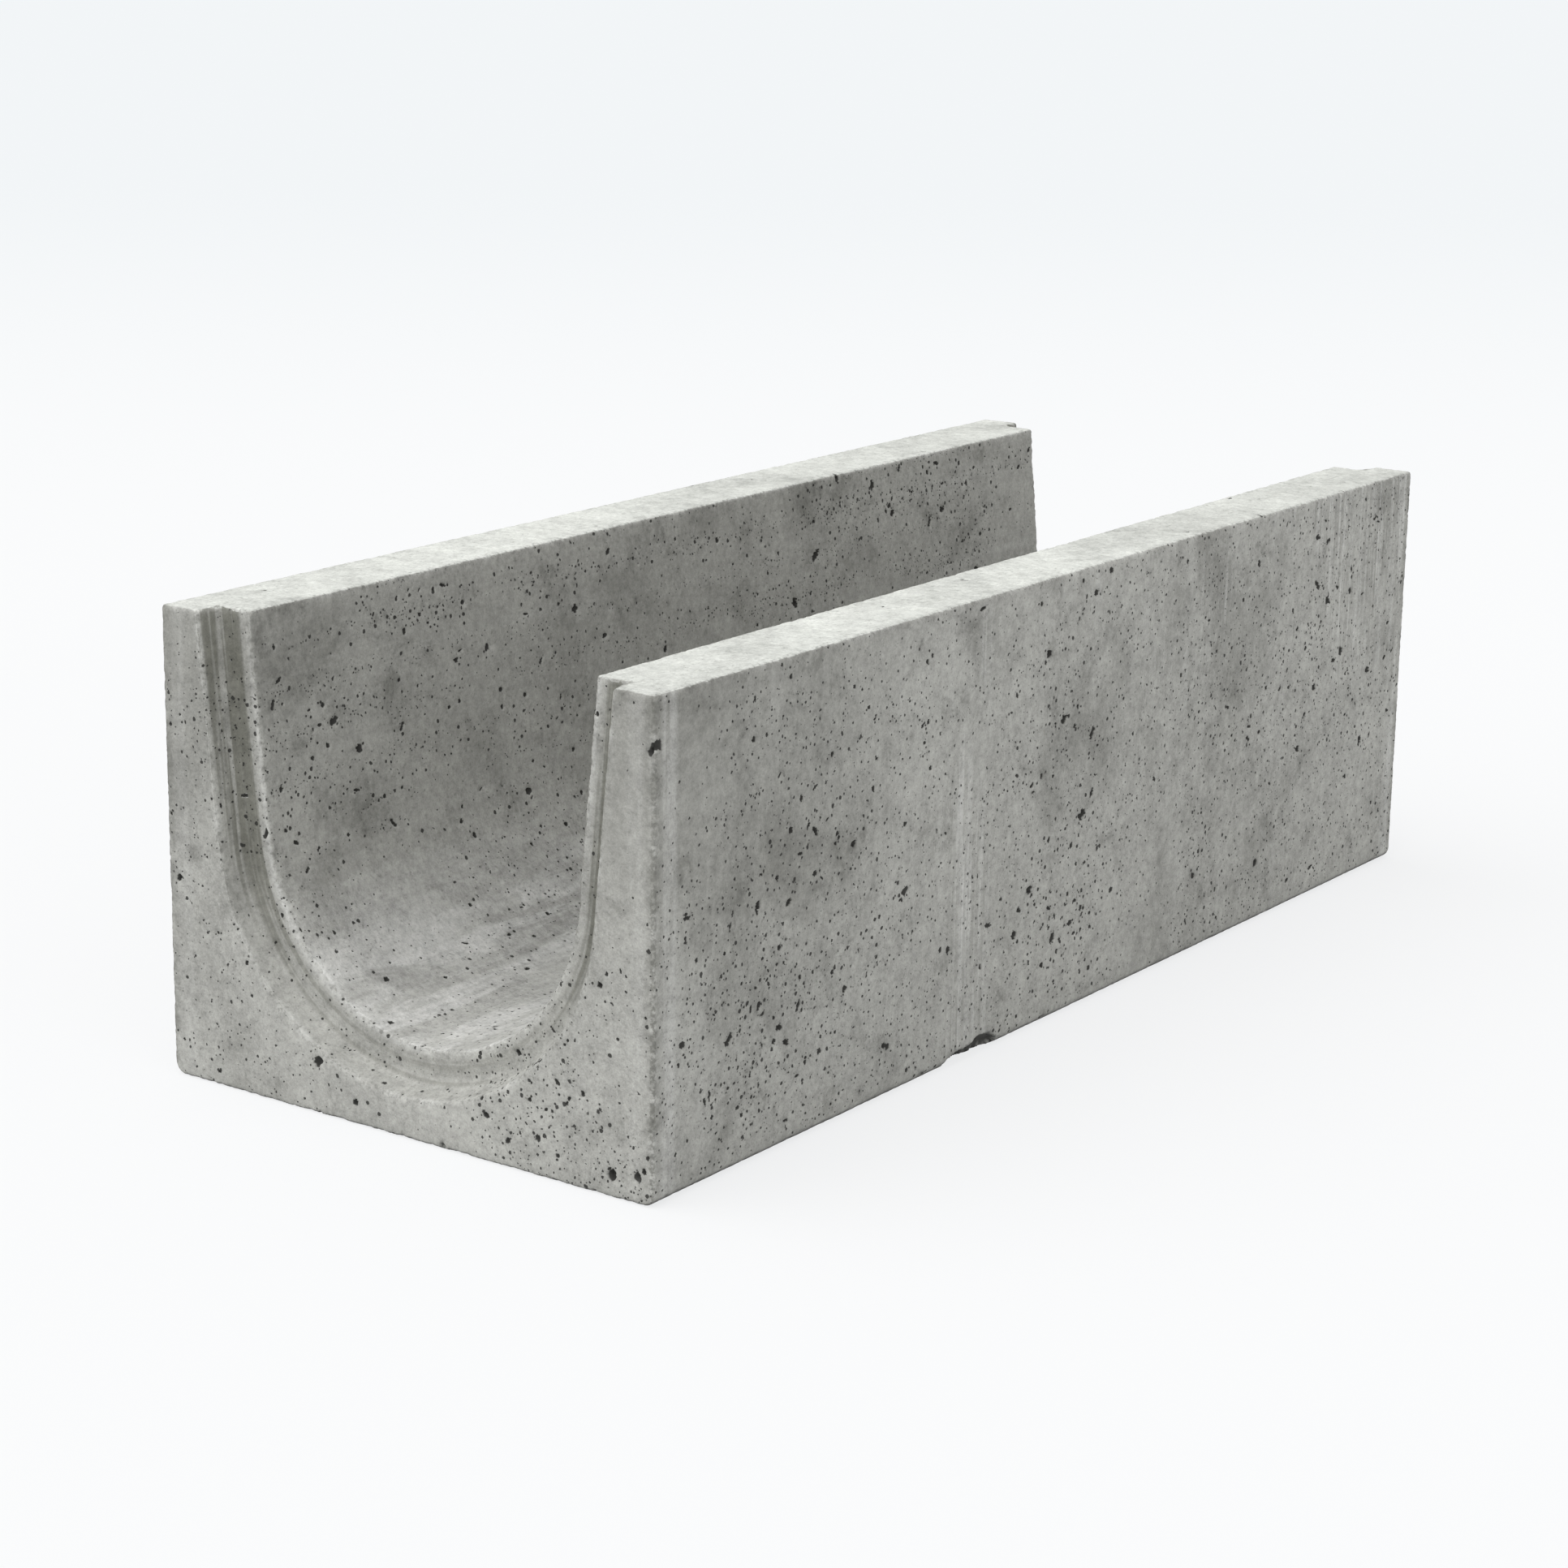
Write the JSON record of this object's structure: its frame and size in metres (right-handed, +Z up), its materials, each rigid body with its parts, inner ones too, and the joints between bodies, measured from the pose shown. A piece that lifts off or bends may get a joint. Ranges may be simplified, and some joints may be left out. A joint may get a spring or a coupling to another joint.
{
  "type": "drainage channel",
  "caption": "U-shaped concrete channel with a round-bottomed trough open at the top and both ends, and a shallow jointing rebate round the trough at each end.",
  "frame": {"origin": "middle of the underside, on the floor it lies on", "axes": "+Y along the channel, +X across it, +Z up out of the open trough"},
  "size_m": [0.41, 1, 0.325],
  "materials": {
    "concrete": "as cast, with air holes, light streaks and worn edges"
  },
  "bodies": {
    "root": {"channel": "concrete"}
  },
  "joints": []
}
